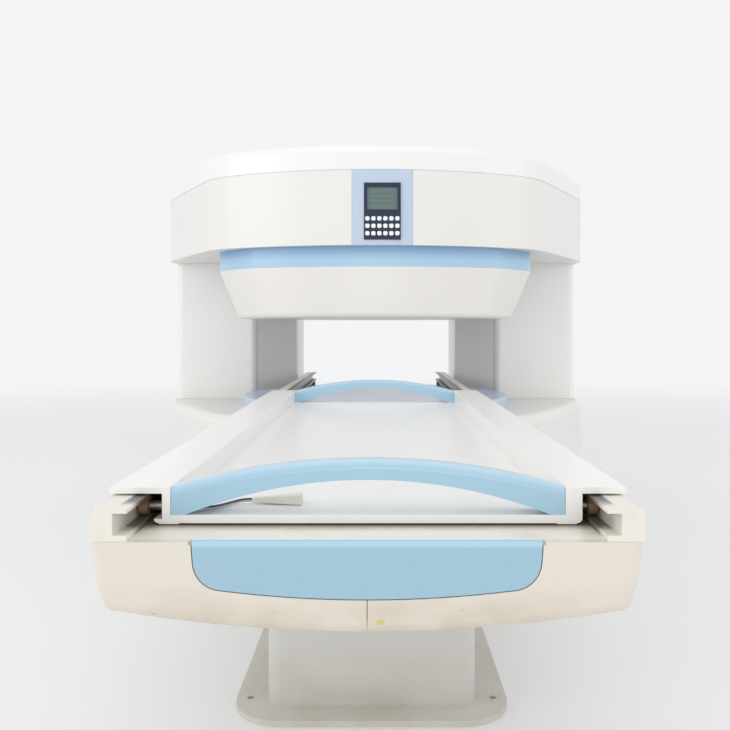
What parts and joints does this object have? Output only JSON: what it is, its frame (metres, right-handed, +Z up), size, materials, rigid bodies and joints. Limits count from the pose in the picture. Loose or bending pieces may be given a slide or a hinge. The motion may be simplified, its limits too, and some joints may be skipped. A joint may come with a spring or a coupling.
{
  "type": "open magnet mri scanner",
  "caption": "Open low-field MRI scanner: upper and lower magnet poles on two rear columns, with a floor-standing table whose tabletop rolls along rails into the gap.",
  "frame": {"origin": "on the floor under the vertical axis of the magnet poles", "axes": "+Z up along the pole axis, -Y towards the patient end of the table, +X to the right seen from the patient end"},
  "size_m": [2.23, 3.91, 1.739],
  "materials": {
    "yoke_steel": "machined, painted against rust",
    "magnet_block": "nickel plated blocks, glued",
    "coil_resin": "cast epoxy",
    "foot_steel": "zinc plated",
    "cap_white": "glass fibre, sprayed satin",
    "belt_white": "glass fibre, sprayed satin",
    "band_blue": "glass fibre, sprayed satin",
    "skirt_white": "glass fibre, sprayed satin",
    "disc_blue": "glass fibre, sprayed satin",
    "panel_blue": "printed film",
    "bezel_navy": "moulded, fine texture",
    "lcd_glass": "reflective display, unlit",
    "key_white": "moulded",
    "deck_cream": "sprayed satin, soiled",
    "nose_cream": "glass fibre, soiled towards the floor",
    "inset_blue": "fine speckled spray",
    "pedestal_paint": "powder coat",
    "rail_cream": "extrusion, cream powder coat",
    "tray_white": "glass fibre gel coat",
    "handle_blue": "moulded polyurethane",
    "roller_tan": "turned bearing plastic",
    "axle_steel": "turned",
    "lead_grey": "satin cable sheath",
    "plug_cream": "moulded"
  },
  "bodies": {
    "root": {"lower_yoke": "yoke_steel", "upper_yoke": "yoke_steel", "left_post": "yoke_steel", "right_post": "yoke_steel", "lower_magnet": "magnet_block", "upper_magnet": "magnet_block", "lower_pole_piece": "yoke_steel", "upper_pole_piece": "yoke_steel", "lower_gradient_coil": "coil_resin", "upper_gradient_coil": "coil_resin", "levelling_feet": "foot_steel", "top_cap": "cap_white", "upper_front_cover": "belt_white", "lower_front_cover": "belt_white", "left_column_cover": "belt_white", "right_column_cover": "belt_white", "left_rear_cover": "belt_white", "right_rear_cover": "belt_white", "upper_pole_band": "band_blue", "upper_pole_skirt": "skirt_white", "lower_pole_cover": "disc_blue", "control_panel": "panel_blue", "display_bezel": "bezel_navy", "lcd_screen": "lcd_glass", "table_body": "deck_cream", "table_pedestal": "pedestal_paint", "left_nose_cover": "nose_cream", "right_nose_cover": "nose_cream", "nose_inset": "inset_blue", "left_rail": "rail_cream", "right_rail": "rail_cream", "rail_brackets": "rail_cream"},
    "tabletop": {"tabletop": "tray_white", "front_handle": "handle_blue", "rear_handle": "handle_blue", "roller_axles": "axle_steel", "coil_lead": "lead_grey", "coil_plug": "plug_cream"},
    "front_left_roller": {"front_left_roller": "roller_tan"},
    "front_right_roller": {"front_right_roller": "roller_tan"},
    "rear_left_roller": {"rear_left_roller": "roller_tan"},
    "rear_right_roller": {"rear_right_roller": "roller_tan"},
    "key_r1_c1": {"key_r1_c1": "key_white"},
    "key_r1_c2": {"key_r1_c2": "key_white"},
    "key_r1_c3": {"key_r1_c3": "key_white"},
    "key_r1_c4": {"key_r1_c4": "key_white"},
    "key_r1_c5": {"key_r1_c5": "key_white"},
    "key_r1_c6": {"key_r1_c6": "key_white"},
    "key_r2_c1": {"key_r2_c1": "key_white"},
    "key_r2_c2": {"key_r2_c2": "key_white"},
    "key_r2_c3": {"key_r2_c3": "key_white"},
    "key_r2_c4": {"key_r2_c4": "key_white"},
    "key_r2_c5": {"key_r2_c5": "key_white"},
    "key_r2_c6": {"key_r2_c6": "key_white"},
    "key_r3_c1": {"key_r3_c1": "key_white"},
    "key_r3_c2": {"key_r3_c2": "key_white"},
    "key_r3_c3": {"key_r3_c3": "key_white"},
    "key_r3_c4": {"key_r3_c4": "key_white"},
    "key_r3_c5": {"key_r3_c5": "key_white"},
    "key_r3_c6": {"key_r3_c6": "key_white"}
  },
  "joints": [
    {"name": "tabletop_slide", "type": "slide", "parent": "root", "child": "tabletop", "axis": [0, 1, 0], "range_m": [0, 1.45]},
    {"name": "front_left_roller_spin", "type": "hinge", "parent": "tabletop", "child": "front_left_roller", "pos_m": [-0.378, -2.758, 0.6475], "axis": [1, 0, 0], "continuous": true},
    {"name": "front_right_roller_spin", "type": "hinge", "parent": "tabletop", "child": "front_right_roller", "pos_m": [0.378, -2.758, 0.6475], "axis": [1, 0, 0], "continuous": true},
    {"name": "rear_left_roller_spin", "type": "hinge", "parent": "tabletop", "child": "rear_left_roller", "pos_m": [-0.378, -0.85, 0.6475], "axis": [1, 0, 0], "continuous": true},
    {"name": "rear_right_roller_spin", "type": "hinge", "parent": "tabletop", "child": "rear_right_roller", "pos_m": [0.378, -0.85, 0.6475], "axis": [1, 0, 0], "continuous": true},
    {"name": "key_r1_c1_press", "type": "slide", "parent": "root", "child": "key_r1_c1", "axis": [0, 1, 0], "range_m": [0, 0.0015], "stiffness_N_per_m": 400},
    {"name": "key_r1_c2_press", "type": "slide", "parent": "root", "child": "key_r1_c2", "axis": [0, 1, 0], "range_m": [0, 0.0015], "stiffness_N_per_m": 400},
    {"name": "key_r1_c3_press", "type": "slide", "parent": "root", "child": "key_r1_c3", "axis": [0, 1, 0], "range_m": [0, 0.0015], "stiffness_N_per_m": 400},
    {"name": "key_r1_c4_press", "type": "slide", "parent": "root", "child": "key_r1_c4", "axis": [0, 1, 0], "range_m": [0, 0.0015], "stiffness_N_per_m": 400},
    {"name": "key_r1_c5_press", "type": "slide", "parent": "root", "child": "key_r1_c5", "axis": [0, 1, 0], "range_m": [0, 0.0015], "stiffness_N_per_m": 400},
    {"name": "key_r1_c6_press", "type": "slide", "parent": "root", "child": "key_r1_c6", "axis": [0, 1, 0], "range_m": [0, 0.0015], "stiffness_N_per_m": 400},
    {"name": "key_r2_c1_press", "type": "slide", "parent": "root", "child": "key_r2_c1", "axis": [0, 1, 0], "range_m": [0, 0.0015], "stiffness_N_per_m": 400},
    {"name": "key_r2_c2_press", "type": "slide", "parent": "root", "child": "key_r2_c2", "axis": [0, 1, 0], "range_m": [0, 0.0015], "stiffness_N_per_m": 400},
    {"name": "key_r2_c3_press", "type": "slide", "parent": "root", "child": "key_r2_c3", "axis": [0, 1, 0], "range_m": [0, 0.0015], "stiffness_N_per_m": 400},
    {"name": "key_r2_c4_press", "type": "slide", "parent": "root", "child": "key_r2_c4", "axis": [0, 1, 0], "range_m": [0, 0.0015], "stiffness_N_per_m": 400},
    {"name": "key_r2_c5_press", "type": "slide", "parent": "root", "child": "key_r2_c5", "axis": [0, 1, 0], "range_m": [0, 0.0015], "stiffness_N_per_m": 400},
    {"name": "key_r2_c6_press", "type": "slide", "parent": "root", "child": "key_r2_c6", "axis": [0, 1, 0], "range_m": [0, 0.0015], "stiffness_N_per_m": 400},
    {"name": "key_r3_c1_press", "type": "slide", "parent": "root", "child": "key_r3_c1", "axis": [0, 1, 0], "range_m": [0, 0.0015], "stiffness_N_per_m": 400},
    {"name": "key_r3_c2_press", "type": "slide", "parent": "root", "child": "key_r3_c2", "axis": [0, 1, 0], "range_m": [0, 0.0015], "stiffness_N_per_m": 400},
    {"name": "key_r3_c3_press", "type": "slide", "parent": "root", "child": "key_r3_c3", "axis": [0, 1, 0], "range_m": [0, 0.0015], "stiffness_N_per_m": 400},
    {"name": "key_r3_c4_press", "type": "slide", "parent": "root", "child": "key_r3_c4", "axis": [0, 1, 0], "range_m": [0, 0.0015], "stiffness_N_per_m": 400},
    {"name": "key_r3_c5_press", "type": "slide", "parent": "root", "child": "key_r3_c5", "axis": [0, 1, 0], "range_m": [0, 0.0015], "stiffness_N_per_m": 400},
    {"name": "key_r3_c6_press", "type": "slide", "parent": "root", "child": "key_r3_c6", "axis": [0, 1, 0], "range_m": [0, 0.0015], "stiffness_N_per_m": 400}
  ],
  "couplings": [
    {"joint": "front_left_roller_spin", "follows": "tabletop_slide", "rad_per_m": -61.728},
    {"joint": "front_right_roller_spin", "follows": "tabletop_slide", "rad_per_m": -61.728},
    {"joint": "rear_left_roller_spin", "follows": "tabletop_slide", "rad_per_m": -61.728},
    {"joint": "rear_right_roller_spin", "follows": "tabletop_slide", "rad_per_m": -61.728}
  ]
}
